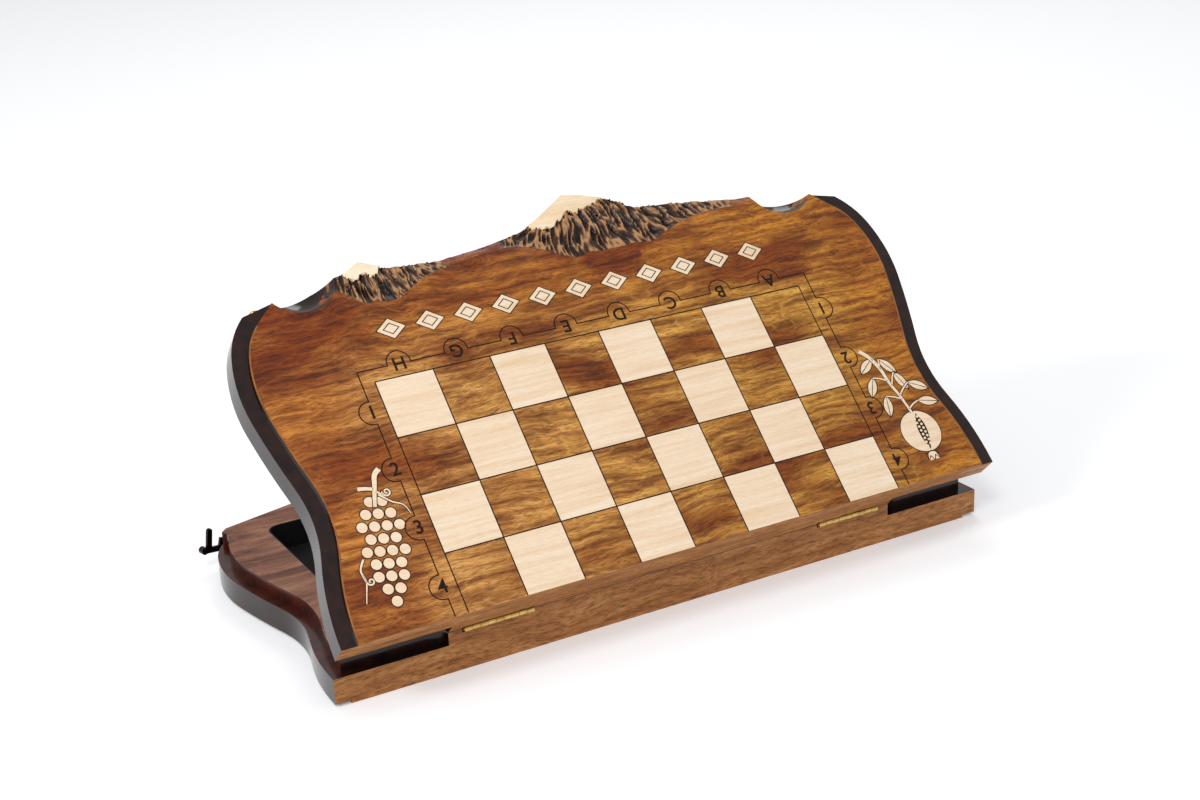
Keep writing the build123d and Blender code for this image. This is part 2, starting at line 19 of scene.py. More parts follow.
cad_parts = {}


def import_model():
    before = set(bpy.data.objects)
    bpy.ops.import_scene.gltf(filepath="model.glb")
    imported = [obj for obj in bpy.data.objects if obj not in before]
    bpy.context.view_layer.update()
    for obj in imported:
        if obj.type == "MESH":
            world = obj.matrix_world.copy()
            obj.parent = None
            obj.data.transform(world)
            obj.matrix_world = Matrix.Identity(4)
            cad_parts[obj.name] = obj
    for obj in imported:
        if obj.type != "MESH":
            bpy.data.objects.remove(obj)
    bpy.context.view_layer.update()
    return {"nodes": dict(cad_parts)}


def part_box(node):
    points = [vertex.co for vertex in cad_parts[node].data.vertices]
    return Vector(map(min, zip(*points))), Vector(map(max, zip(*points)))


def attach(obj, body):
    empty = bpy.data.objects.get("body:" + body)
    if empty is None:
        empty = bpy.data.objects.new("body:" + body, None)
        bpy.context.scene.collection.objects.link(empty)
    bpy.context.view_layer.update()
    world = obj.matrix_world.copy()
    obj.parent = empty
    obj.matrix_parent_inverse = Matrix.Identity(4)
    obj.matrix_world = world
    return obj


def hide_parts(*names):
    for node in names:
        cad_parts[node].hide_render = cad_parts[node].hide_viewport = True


LOG = logging.getLogger("chess_case")
MM = 0.001
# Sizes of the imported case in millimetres
CENTRE_Y = 154.009
HINGE_Z = 34.2
FOLD_GAP = 0.8
OPEN_ANGLE = math.radians(44.0)
SQUARE = 50.0
THICKNESS = 34.0
REBATE_FLOOR = 23.5
MOULDING_WIDTH = 13.0
# A node whose top is above this height in metres lies in the upper half
UPPER_FROM = 0.06
WHITE = "ffffff"
# Outline of the ridge between the two scooped corners
RIDGE = np.array(
    [
        (-215, 295.5),
        (-187, 300),
        (-174, 307),
        (-152, 297.5),
        (-106, 294),
        (-64, 298),
        (-27, 305.5),
        (-8.5, 314),
        (23, 332),
        (41, 328.5),
        (66, 320),
        (86, 308),
        (122, 305),
        (143, 302),
        (183, 296),
        (215, 295.5),
    ]
)
# The right side: five tangent arcs between these places, and the first one's direction
SIDE_START_ANGLE = math.radians(89.3)
SIDE_JOINTS = [(302, 0), (291.9, 70.2), (290.9, 130), (304.1, 190.2), (300.7, 247.4), (281, 279)]

Array = np.ndarray
Tree = bpy.types.NodeTree
Node = bpy.types.Node
Socket = bpy.types.NodeSocket


class Half(Enum):
    """The two halves of the case, with the body that each one moves with."""

    LOWER = "lower_half"
    UPPER = "upper_half"

    def matrix(self) -> Matrix:
        """Place of the half: from its flat millimetres to the row frame's metres.

        Returns:
            A 4 x 4 matrix. The upper half is mirrored across the parting plane, then opened.
        """
        scale = Matrix.Diagonal((MM, MM, MM, 1.0))
        home = Matrix.Translation((0.0, -CENTRE_Y, 0.0))
        if self is Half.LOWER:
            return scale @ home
        pin = Matrix.Translation((0.0, -FOLD_GAP, HINGE_Z))
        mirror = Matrix.Diagonal((1.0, 1.0, -1.0, 1.0))
        return scale @ home @ pin @ Matrix.Rotation(OPEN_ANGLE, 4, "X") @ mirror @ pin.inverted()

    @property
    def lean(self) -> float:
        """Angle of the half's faces about X, in radians."""
        return OPEN_ANGLE if self is Half.UPPER else 0.0


# ---------------------------------------------------------------- nodes and finishes


def linear(hex_colour: str) -> tuple[float, float, float, float]:
    """Turns an sRGB hex colour into linear light.

    Args:
        hex_colour: Six hex digits.

    Returns:
        Linear red, green, blue and an alpha of 1.
    """
    values = [int(hex_colour[i : i + 2], 16) / 255 for i in (0, 2, 4)]
    light = [v / 12.92 if v <= 0.04045 else ((v + 0.055) / 1.055) ** 2.4 for v in values]
    return (*light, 1.0)


class Kind(Enum):
    """The types of shader node in use."""

    SHADER = "ShaderNodeBsdfPrincipled"
    SURFACE = "ShaderNodeOutputMaterial"
    PLACE = "ShaderNodeTexCoord"
    TURN = "ShaderNodeMapping"
    NOISE = "ShaderNodeTexNoise"
    RAMP = "ShaderNodeValToRGB"
    MATH = "ShaderNodeMath"
    VECTOR = "ShaderNodeVectorMath"
    SPLIT = "ShaderNodeSeparateXYZ"
    RANGE = "ShaderNodeMapRange"
    MIX = "ShaderNodeMix"
    BUMP = "ShaderNodeBump"
    ATTRIBUTE = "ShaderNodeAttribute"
    PAPER = "ShaderNodeBsdfDiffuse"
    GLOW = "ShaderNodeEmission"
    SUM = "ShaderNodeAddShader"
    RAY = "ShaderNodeLightPath"
    SKY = "ShaderNodeBackground"
    WORLD = "ShaderNodeOutputWorld"


def add_node(
    tree: Tree, kind: Kind, links: dict | None = None, stops: tuple[tuple[float, str], ...] = (), **settings
) -> Node:
    """Adds one shader node with its settings and inputs.

    Args:
        tree: The material's node tree.
        kind: The node's type.
        links: For each input, by name or number, another node's output or a plain value.
        stops: On a colour ramp, its positions and sRGB hex colours.
        settings: Attributes of the node.

    Returns:
        The new node.
    """
    node = tree.nodes.new(kind.value)
    for name, value in settings.items():
        setattr(node, name, value)
    for name, value in (links or {}).items():
        if isinstance(value, Socket):
            tree.links.new(value, node.inputs[name])
        else:
            node.inputs[name].default_value = value
    for _ in stops[2:]:
        node.color_ramp.elements.new(0.5)
    for number, (position, colour) in enumerate(stops):
        node.color_ramp.elements[number].position = position
        node.color_ramp.elements[number].color = linear(colour)
    return node


@dataclass
class Start:
    """A material under way: its tree, its shader and its coordinates in metres."""

    material: bpy.types.Material
    tree: Tree
    shader: Node
    place: Socket

    def close(self, colour: Socket, height: Socket, depth_mm: float, strength: float) -> bpy.types.Material:
        """Links the colour and the bump.

        Args:
            colour: The surface's colour.
            height: Its relief, from 0 to 1.
            depth_mm: How deep the relief is.
            strength: How much of it shows.

        Returns:
            The finished material.
        """
        self.tree.links.new(colour, self.shader.inputs["Base Color"])
        relief = {"Height": height, "Distance": depth_mm * MM, "Strength": strength}
        bump = add_node(self.tree, Kind.BUMP, relief)
        self.tree.links.new(bump.outputs[0], self.shader.inputs["Normal"])
        return self.material


@dataclass(frozen=True)
class Finish:
    """What every finish shares: a name, a gloss and a clear coat."""

    name: str
    roughness: float = 0.4
    coat: float = 0.0
    coat_roughness: float = 0.1
    metallic: float = 0.0
    specular: float = 0.5

    def start(self, half: Half) -> Start:
        """Makes the material with its shader and coordinates that lie in the half's face.

        Their zero is the half's flat zero, so X and Y are the flat ones in metres. The upper
        half is moved on through the pattern, or both halves would have the same grain.

        Args:
            half: Whose faces the pattern lies along.

        Returns:
            The material under way.
        """
        material = bpy.data.materials.new(f"{self.name}_{half.name.lower()}")
        material.use_nodes = True
        tree = material.node_tree
        tree.nodes.clear()
        gloss = {
            "Roughness": self.roughness,
            "Metallic": self.metallic,
            "Specular IOR Level": self.specular,
            "Coat Weight": self.coat,
            "Coat Roughness": self.coat_roughness,
        }
        shader = add_node(tree, Kind.SHADER, gloss)
        add_node(tree, Kind.SURFACE, {"Surface": shader.outputs[0]})
        place = add_node(tree, Kind.PLACE).outputs["Object"]
        corner = Matrix.Rotation(-half.lean, 3, "X") @ half.matrix().to_translation()
        own_pattern = 0.7 if half is Half.UPPER else 0.0
        shift = (-corner.x, -corner.y, own_pattern - corner.z)
        turned = add_node(
            tree, Kind.TURN, {"Vector": place, "Location": shift, "Rotation": (-half.lean, 0, 0)}
        )
        return Start(material, tree, shader, turned.outputs[0])


@dataclass(frozen=True)
class Wood(Finish):
    """Lacquered wood, sawn so that the grain runs along X in wavy bands and pale rings."""

    dark: str = "6b3d1c"
    middle: str = "a56c38"
    light: str = "cf9a5c"
    fibre_tint: str = "5c4a40"
    # Tints that paint sheen: from left to right across the face, and darker on the border so that the grid
    # looks lit
    left_sheen_tint: str = WHITE
    right_sheen_tint: str = WHITE
    grid_sheen_rim_tint: str = WHITE
    patch_tint: str = WHITE
    band_mm: float = 9.0
    run_mm: float = 170.0
    patch_mm: tuple[float, float] = (110.0, 38.0)
    swell_mm: tuple[float, float] = (130.0, 45.0)
    swell_rings: float = 14.0
    fibre_mm: float = 0.9
    wander_mm: float = 9.0
    fibre_share: float = 0.25
    ring_mm: float = 9.0
    ring_share: float = 0.0
    rim_mm: float = 50.0
    bump_mm: float = 0.02
    contrast: float = 0.34

    def bent(self, tree: Tree, place: Socket) -> Socket:
        """Moves each place across the grain by a slow noise, so that the grain runs in waves."""
        slow = add_node(tree, Kind.NOISE, {"Vector": place, "Scale": 11.0, "Detail": 3.0})
        half_each = {0: slow.outputs["Color"], 1: (0.5, 0.5, 0.5)}
        centred = add_node(tree, Kind.VECTOR, half_each, operation="SUBTRACT")
        reach = 2 * self.wander_mm * MM
        moved = {0: centred.outputs[0], 1: (0.0, reach, reach), 2: place}
        return add_node(tree, Kind.VECTOR, moved, operation="MULTIPLY_ADD").outputs[0]

    def stretched(self, tree: Tree, place: Socket, size_mm: tuple[float, float], **noise: float) -> Socket:
        """Adds a noise that is drawn out along the grain.

        Args:
            tree: The material's node tree.
            place: Coordinates in metres.
            size_mm: Length of its marks along X, and their width.
            noise: The noise's own inputs.

        Returns:
            The noise's value.
        """
        along, across = (1 / (size * MM) for size in size_mm)
        scaled = add_node(tree, Kind.VECTOR, {0: place, 1: (along, across, across)}, operation="MULTIPLY")
        return add_node(tree, Kind.NOISE, {"Vector": scaled.outputs[0], "Scale": 1.0, **noise}).outputs["Fac"]

    def ringed(self, tree: Tree, place: Socket, bent: Socket, colour: Socket) -> Socket:
        """Draws pale rings, as level lines on a map.

        The height is the bent Y in rings, raised by a slow swell. A ring is where it passes a
        whole number.

        Args:
            tree: The material's node tree.
            place: Coordinates in metres.
            bent: The same, bent.
            colour: What the rings are drawn on.

        Returns:
            The colour with its rings.
        """
        swell = self.stretched(tree, place, self.swell_mm, Detail=2.0)
        across = add_node(tree, Kind.SPLIT, {0: bent}).outputs["Y"]
        level = add_node(tree, Kind.MATH, {0: across, 1: 1 / (self.ring_mm * MM)}, operation="MULTIPLY")
        raised = {0: swell, 1: self.swell_rings, 2: level.outputs[0]}
        height = add_node(tree, Kind.MATH, raised, operation="MULTIPLY_ADD")
        folded = add_node(tree, Kind.MATH, {0: height.outputs[0], 1: 1.0}, operation="PINGPONG")
        fade = ((0.0, WHITE), (0.1, "8c8c8c"), (0.3, "000000"))
        line = add_node(tree, Kind.RAMP, {"Fac": folded.outputs[0]}, fade)
        share = add_node(
            tree, Kind.MATH, {0: line.outputs["Color"], 1: self.ring_share}, operation="MULTIPLY"
        )
        both = {"Factor": share.outputs[0], 6: colour, 7: linear(self.light)}
        return add_node(tree, Kind.MIX, both, data_type="RGBA").outputs[2]

    def rim_share(self, tree: Tree, x: Socket, y: Socket) -> Socket:
        """How far a place is from the chess grid: 0 on it, 1 well out on the border. It masks the painted
        sheen round the grid.
        """
        beside = add_node(tree, Kind.MATH, {0: x}, operation="ABSOLUTE").outputs[0]
        far = add_node(tree, Kind.MATH, {0: beside, 1: y}, operation="MAXIMUM").outputs[0]
        grid = 4 * SQUARE * MM
        ends = {"Value": far, "From Min": grid, "From Max": grid + self.rim_mm * MM}
        return add_node(tree, Kind.RANGE, ends).outputs[0]

    def material(self, half: Half) -> bpy.types.Material:
        """Builds the wood.

        Stretched noises give its bands, dark patches and fibres. Over the bands lie the rings,
        then the patches, the fibres, and painted sheen: a tint from left to right and one that darkens the
        rim.

        Args:
            half: Whose faces the grain lies along.

        Returns:
            The material.
        """
        work = self.start(half)
        tree, place = work.tree, work.place
        bent = self.bent(tree, place)
        bands = self.stretched(tree, bent, (self.run_mm, self.band_mm), Detail=5.0, Roughness=0.6)
        low, high = 0.5 - self.contrast / 2, 0.5 + self.contrast / 2
        shades = ((low, self.dark), (0.5, self.middle), (high, self.light))
        colour = add_node(tree, Kind.RAMP, {"Fac": bands}, shades).outputs["Color"]
        if self.ring_share:
            colour = self.ringed(tree, place, bent, colour)
        patches = self.stretched(tree, bent, self.patch_mm, Detail=4.0)
        fibres = self.stretched(tree, bent, (9 * self.fibre_mm, self.fibre_mm), Detail=2.0)
        where = add_node(tree, Kind.SPLIT, {0: place}).outputs
        left_to_right = {"Value": where["X"], "From Min": -0.3, "From Max": 0.15}
        side = add_node(tree, Kind.RANGE, left_to_right).outputs[0]
        rim = self.rim_share(tree, where["X"], where["Y"])
        # The side and rim layers paint sheen: a tint from left to right and a darker border round the grid
        layers = (
            (patches, ((0.36, self.patch_tint), (0.58, WHITE)), 1.0),
            (fibres, ((0.32, self.fibre_tint), (0.55, WHITE)), self.fibre_share),
            (side, ((0.0, self.left_sheen_tint), (1.0, self.right_sheen_tint)), 1.0),
            (rim, ((0.0, WHITE), (1.0, self.grid_sheen_rim_tint)), 1.0),
        )
        for factor, stops, share in layers:
            layer = add_node(tree, Kind.RAMP, {"Fac": factor}, stops).outputs["Color"]
            both = {"Factor": share, 6: colour, 7: layer}
            colour = add_node(tree, Kind.MIX, both, data_type="RGBA", blend_type="MULTIPLY").outputs[2]
        return work.close(colour, fibres, self.bump_mm, 0.5)


@dataclass(frozen=True)
class Speckled(Finish):
    """A smooth finish whose colour drifts a little: lacquer, stain, brass or felt."""

    base: str = "808080"
    deep: str = "606060"
    drift_mm: float = 12.0
    grit_mm: float = 0.6
    bump_mm: float = 0.01

    def material(self, half: Half) -> bpy.types.Material:
        """Builds the finish: a slow noise mixes two shades and a fine one raises the surface.

        Args:
            half: Whose faces the pattern lies along.

        Returns:
            The material.
        """
        work = self.start(half)
        slow, fine = 1 / (self.drift_mm * MM), 1 / (self.grit_mm * MM)
        drift = add_node(work.tree, Kind.NOISE, {"Vector": work.place, "Scale": slow, "Detail": 3.0})
        shades = ((0.35, self.deep), (0.65, self.base))
        colour = add_node(work.tree, Kind.RAMP, {"Fac": drift.outputs["Fac"]}, shades)
        grit = add_node(work.tree, Kind.NOISE, {"Vector": work.place, "Scale": fine, "Detail": 1.0})
        return work.close(colour.outputs["Color"], grit.outputs["Fac"], self.bump_mm, 0.6)


@dataclass(frozen=True)
class Rock(Finish):
    """Chiselled and lacquered wood: painted shade dark in its cuts, bare wood on its crests."""

    # Painted shade: the colour of the cuts between the crests
    cut: str = "140b07"
    side: str = "4a2e1e"
    crest: str = "b98a5e"
    noise_share: float = 0.35
    bump_mm: float = 0.4

    def material(self, half: Half) -> bpy.types.Material:
        """Builds the carved finish from the piece's own crest attribute, broken by a noise: low values paint
        shade into the cuts.

        Args:
            half: Whose faces the pattern lies along.

        Returns:
            The material.
        """
        work = self.start(half)
        crest = add_node(work.tree, Kind.ATTRIBUTE, attribute_name="crest").outputs["Fac"]
        noise = add_node(work.tree, Kind.NOISE, {"Vector": work.place, "Scale": 260.0, "Detail": 4.0})
        height = noise.outputs["Fac"]
        sum_of_both = {0: height, 1: self.noise_share, 2: crest}
        broken = add_node(work.tree, Kind.MATH, sum_of_both, operation="MULTIPLY_ADD")
        shades = ((0.35, self.cut), (0.7, self.side), (1.02, self.crest))
        colour = add_node(work.tree, Kind.RAMP, {"Fac": broken.outputs[0]}, shades)
        return work.close(colour.outputs["Color"], height, self.bump_mm, 0.7)


# Beech, planed, stained and lacquered: bold bands, with painted sheen: browner on the left,
# golden on the right, and darker outside the chess grid so that the grid looks lit
FACE_BEECH = Wood(
    "stained_beech_face_painted_sheen",
    roughness=0.42,
    specular=0.3,
    coat=0.05,
    coat_roughness=0.2,
    dark="865628",
    middle="bd8a4e",
    light="e6b873",
    # Painted sheen: pinkish on the left, golden on the right, darker on the border round the grid
    left_sheen_tint="ffece0",
    right_sheen_tint="fff0ae",
    grid_sheen_rim_tint="ebd0a0",
    patch_tint="b58a58",
    band_mm=5.0,
    run_mm=80.0,
    fibre_mm=0.8,
    wander_mm=13.0,
    fibre_share=0.6,
    ring_mm=11.0,
    ring_share=0.5,
    contrast=0.3,
)
INNER_BEECH = Wood(
    "stained_beech_inner",
    roughness=0.45,
    specular=0.2,
    dark="5c321f",
    middle="875640",
    light="aa7a5c",
    band_mm=12.0,
    wander_mm=14.0,
    fibre_share=0.4,
    ring_share=0.3,
)
FOLD_BEECH = Wood(
    "stained_beech_fold",
    roughness=0.5,
    specular=0.2,
    dark="84502a",
    middle="a8703e",
    light="c08a54",
    band_mm=6.0,
    run_mm=60.0,
    fibre_share=0.6,
    contrast=0.4,
)
# Maple veneer, sanded and lacquered: close grain in two near shades
PALE_VENEER = Wood(
    "pale_maple_veneer",
    roughness=0.42,
    coat=0.1,
    coat_roughness=0.2,
    dark="ecc9a0",
    middle="f6dcbc",
    light="fdebd2",
    band_mm=5.0,
    run_mm=120.0,
    fibre_mm=0.7,
    wander_mm=3.0,
    fibre_share=0.1,
    contrast=0.5,
)
# Lacquer, brushed on and polished: nearly black on the sides, red-brown in the rebate
EDGE_LACQUER = Speckled("black_lacquer", roughness=0.16, specular=0.42, base="2a1008", deep="120604")
REBATE_LACQUER = Speckled("red_brown_lacquer", roughness=0.2, specular=0.4, base="4a180a", deep="2c0c05")
# Stained wood where the lacquer is rubbed off: a golden line along the face's edge
WORN_EDGE = Speckled("worn_golden_edge", roughness=0.3, coat=0.4, base="a86420", deep="7c4614")
# Stain drawn into cut lines: dark and dull
LINE_STAIN = Speckled("dark_line_stain", roughness=0.6, specular=0.2, base="26140b", deep="1a0d07")
# Felt, pressed: black, with no gloss and a short nap
BLACK_FELT = Speckled(
    "black_felt", roughness=0.95, base="0a0a0b", deep="060607", drift_mm=4.0, grit_mm=0.5, bump_mm=0.15
)
# Brass, polished on the hinges and studs, and darkened on the hooks
POLISHED_BRASS = Speckled("polished_brass", roughness=0.24, metallic=1.0, base="dcbb72", deep="c49f58")
DARK_BRASS = Speckled("dark_brass", roughness=0.34, metallic=1.0, base="3d3229", deep="241c17")
# Wood under the peaks, chiselled, with painted shade: black cuts between pale crests
CARVED_ROCK = Rock("chiselled_wood_painted_cut_shade", roughness=0.34, specular=0.3)
# The peaks' tops, sanded and left bare: pale, nearly even wood
SNOW = Wood(
    "bare_carved_wood",
    roughness=0.5,
    specular=0.3,
    dark="f0d0a2",
    middle="fae0bc",
    light="ffecce",
    band_mm=16.0,
    fibre_share=0.15,
)


class Palette:
    """Makes each finish once for each half."""

    def __init__(self) -> None:
        """Starts with no materials."""
        self.made: dict[tuple[str, Half], bpy.types.Material] = {}

    def get(self, finish: Finish, half: Half) -> bpy.types.Material:
        """Gives a finish's material for one half.

        Args:
            finish: The finish.
            half: Whose faces its pattern lies along.

        Returns:
            The material, made on first use.
        """
        key = (finish.name, half)
        if key not in self.made:
            self.made[key] = finish.material(half)
        return self.made[key]


PALETTE = Palette()

# ---------------------------------------------------------------- shapes


def new_object(
    name: str, points: Array, faces: list, half: Half, finish: Finish
) -> bpy.types.Object:
    """Makes a piece from points in a half's flat millimetres and lets it ride on that half.

    Args:
        name: The piece's name.
        points: An n x 3 array.
        faces: Lists of point numbers.
        half: The half that the piece belongs to.
        finish: Its finish.

    Returns:
        The object, its place in its mesh and its faces outwards.
    """
    mesh = bpy.data.meshes.new(name)
    mesh.from_pydata(points.tolist(), [], faces)
    return adopt(name, mesh, half, [finish], mirrored=half is Half.UPPER)


def adopt(
    name: str, mesh: bpy.types.Mesh, half: Half, finishes: list[Finish], mirrored: bool
) -> bpy.types.Object:
    """Places a flat mesh, gives it its finishes and lets it ride.

    Args:
        name: The piece's name.
        mesh: The mesh in flat millimetres.
        half: The half that the piece belongs to.
        finishes: Its finishes, in the order of the faces' material numbers.
        mirrored: Whether the half's matrix turns the faces inside out.

    Returns:
        The object.
    """
    mesh.transform(half.matrix())
    if mirrored:
        mesh.flip_normals()
    mesh.update()
    piece = bpy.data.objects.new(name, mesh)
    bpy.context.scene.collection.objects.link(piece)
    for finish in finishes:
        mesh.materials.append(PALETTE.get(finish, half))
    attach(piece, half.value)
    return piece


@dataclass
class Strips:
    """Flat strips of one width laid on the playing face, gathered into one mesh.

    A strip is its centre line moved half a width to each side along the mitred normal, at a
    lift above the face and again just inside it, joined round the edge.
    """

    width: float
    lift: float = 0.05
    sink: float = 0.02
    points: list[Array] = field(default_factory=list)
    faces: list[list[int]] = field(default_factory=list)
    count: int = 0

    def line(self, path: Array, closed: bool = False, widths: Array | None = None) -> None:
        """Adds one strip.

        Args:
            path: An n x 2 array along the centre line.
            closed: Whether the end meets the start.
            widths: A width for each point, where it changes.
        """
        path = np.asarray(path, float)
        if closed:
            ahead = np.roll(path, -1, 0) - path
            behind = path - np.roll(path, 1, 0)
        else:
            step = np.diff(path, axis=0)
            ahead = np.vstack([step, step[-1:]])
            behind = np.vstack([step[:1], step])
        ahead /= np.linalg.norm(ahead, axis=1, keepdims=True)
        behind /= np.linalg.norm(behind, axis=1, keepdims=True)
        along = ahead + behind
        along /= np.linalg.norm(along, axis=1, keepdims=True)
        normal = np.c_[-along[:, 1], along[:, 0]]
        mitre = 1 / np.clip(np.sum(along * ahead, axis=1), 0.5, 1.0)
        reach = (self.width if widths is None else np.asarray(widths)) / 2 * mitre
        left = path + normal * reach[:, None]
        right = path - normal * reach[:, None]
        n = len(path)
        top, foot = np.full(n, -self.lift), np.full(n, self.sink)
        rings = [np.c_[left, top], np.c_[right, top], np.c_[right, foot], np.c_[left, foot]]
        base = self.count
        self.points.append(np.vstack(rings))
        self.count += 4 * n
        index = base + np.arange(4 * n).reshape(4, n)
        here, onward = (index, np.roll(index, -1, 1)) if closed else (index[:, :-1], index[:, 1:])
        walls = np.stack([here, onward, np.roll(onward, -1, 0), np.roll(here, -1, 0)], -1)
        self.faces += walls.reshape(-1, 4).tolist()
        if not closed:
            self.faces += [index[:, 0].tolist(), index[(0, 3, 2, 1), -1].tolist()]

    def area(self, outline: Array) -> None:
        """Adds a flat patch bounded by an outline.

        Args:
            outline: An n x 2 array round the patch.
        """
        outline = np.asarray(outline, float)
        after = np.roll(outline, -1, 0)
        if np.sum(outline[:, 0] * after[:, 1] - after[:, 0] * outline[:, 1]) < 0:
            outline = outline[::-1]
        n = len(outline)
        base = self.count
        self.points += [np.c_[outline, np.full(n, height)] for height in (-self.lift, self.sink)]
        self.count += 2 * n
        ring = base + np.arange(n)
        onward = np.roll(ring, -1)
        self.faces += [ring[::-1].tolist(), (ring + n).tolist()]
        self.faces += np.stack([ring, onward, onward + n, ring + n], -1).tolist()

    def piece(self, name: str, half: Half, finish: Finish, slot: str) -> bpy.types.Object:
        """Makes the strips one piece.

        Args:
            name: The piece's name.
            half: The half that it lies on.
            finish: Its finish.
            slot: The record's material slot. Not used.

        Returns:
            The object.
        """
        return new_object(name, np.vstack(self.points), self.faces, half, finish)


def circle(x: float, y: float, radius: float, count: int = 32) -> Array:
    """Points round a circle, counter-clockwise.

    Args:
        x: Centre.
        y: Centre.
        radius: Radius.
        count: How many points.

    Returns:
        A count x 2 array.
    """
    turn = np.linspace(0, 2 * np.pi, count, endpoint=False)
    return np.c_[x + radius * np.cos(turn), y + radius * np.sin(turn)]


def smooth(points: list[tuple[float, float]], count: int = 24) -> Array:
    """A smooth curve through points: Catmull-Rom, with its ends repeated.

    Args:
        points: What the curve passes through.
        count: Points in each span.

    Returns:
        An n x 2 array.
    """
    p = np.array([points[0], *points, points[-1]], float)
    t = np.linspace(0, 1, count, endpoint=False)[:, None]
    spans = [
        0.5
        * (
            2 * b
            + (c - a) * t
            + (2 * a - 5 * b + 4 * c - d) * t**2
            + (3 * b - a - 3 * c + d) * t**3
        )
        for a, b, c, d in zip(p, p[1:], p[2:], p[3:])
    ]
    return np.vstack([*spans, p[-1:]])


def spiral(x: float, y: float, radius: float, turns: float, start: float, sense: int = 1) -> Array:
    """A curl whose radius shrinks evenly with its angle.

    Args:
        x: Centre.
        y: Centre.
        radius: Outer radius.
        turns: How many turns.
        start: Angle of its outer end, in radians.
        sense: 1 to turn left, -1 to turn right.

    Returns:
        An n x 2 array from the outer end inwards.
    """
    share = np.linspace(0, 1, 40)
    angle = start + sense * share * turns * 2 * np.pi
    reach = radius * (1 - 0.8 * share)
    return np.c_[x + reach * np.cos(angle), y + reach * np.sin(angle)]


def side_line(inset: float, count: int = 14) -> Array:
    """Points down the right side, moved inwards: each of its tangent arcs, cut evenly.

    Args:
        inset: Distance inwards.
        count: Points on each arc.

    Returns:
        An n x 2 array from the fold face to the rear corner.
    """
    angle = SIDE_START_ANGLE
    rows = []
    for (x0, y0), (x1, y1) in zip(SIDE_JOINTS, SIDE_JOINTS[1:]):
        chord = math.hypot(x1 - x0, y1 - y0)
        turn = 2 * ((math.atan2(y1 - y0, x1 - x0) - angle + math.pi) % (2 * math.pi) - math.pi)
        radius = chord / (2 * math.sin(turn / 2))
        here = angle + np.linspace(0, turn, count)
        centre = (x0 - radius * math.sin(angle), y0 + radius * math.cos(angle))
        reach = radius - inset
        rows.append(np.c_[centre[0] + reach * np.sin(here), centre[1] - reach * np.cos(here)][:-1])
        angle += turn
    end_x, end_y = SIDE_JOINTS[-1]
    end = (end_x - inset * math.sin(angle), end_y + inset * math.cos(angle))
    return np.vstack([*rows, end])


def lettering(marks: list[tuple[str, float, float, float]], size: float, half: Half) -> bpy.types.Object:
    """Chess coordinates as thin flat letters on the playing face.

    Args:
        marks: For each letter its text, centre x, centre y and turn in radians.
        size: Height of the text in millimetres.
        half: The half that they are on.

    Returns:
        One object with all the letters.
    """
    points, faces, base = [], [], 0
    for text, x, y, turn in marks:
        curve = bpy.data.curves.new("mark", "FONT")
        curve.body, curve.size = text, size
        curve.align_x, curve.align_y = "CENTER", "CENTER"
        curve.extrude, curve.offset = 0.04, 0.22
        holder = bpy.data.objects.new("mark", curve)
        mesh = bpy.data.meshes.new_from_object(holder)
        place = Matrix.Translation((x, y, 0)) @ Matrix.Rotation(turn, 4, "Z")
        mesh.transform(place)
        flat = np.zeros(3 * len(mesh.vertices))
        mesh.vertices.foreach_get("co", flat)
        points.append(flat.reshape(-1, 3))
        faces += [tuple(base + i for i in p.vertices) for p in mesh.polygons]
        base += len(mesh.vertices)
        bpy.data.objects.remove(holder)
        bpy.data.curves.remove(curve)
        bpy.data.meshes.remove(mesh)
    cloud = np.vstack(points)
    cloud[:, 2] = np.where(cloud[:, 2] > 0, -0.08, 0.01)
    return new_object(f"coordinates_{half.name.lower()}", cloud, faces, half, LINE_STAIN)


# ---------------------------------------------------------------- the carved halves


def value_noise(u: Array, v: Array, seed: int) -> Array:
    """Smooth random values: a seeded table of numbers, blended between its whole places.

    Args:
        u: First coordinate, one table place a unit.
        v: Second coordinate.
        seed: Which table.

    Returns:
        Values from 0 to 1.
    """
    table = np.random.default_rng(seed).random((64, 64))
    i, j = np.floor(u).astype(int), np.floor(v).astype(int)
    a, b = u - i, v - j
    a, b = a * a * (3 - 2 * a), b * b * (3 - 2 * b)
    n00, n10 = table[i % 64, j % 64], table[(i + 1) % 64, j % 64]
    n01, n11 = table[i % 64, (j + 1) % 64], table[(i + 1) % 64, (j + 1) % 64]
    return (n00 * (1 - a) + n10 * a) * (1 - b) + (n01 * (1 - a) + n11 * a) * b


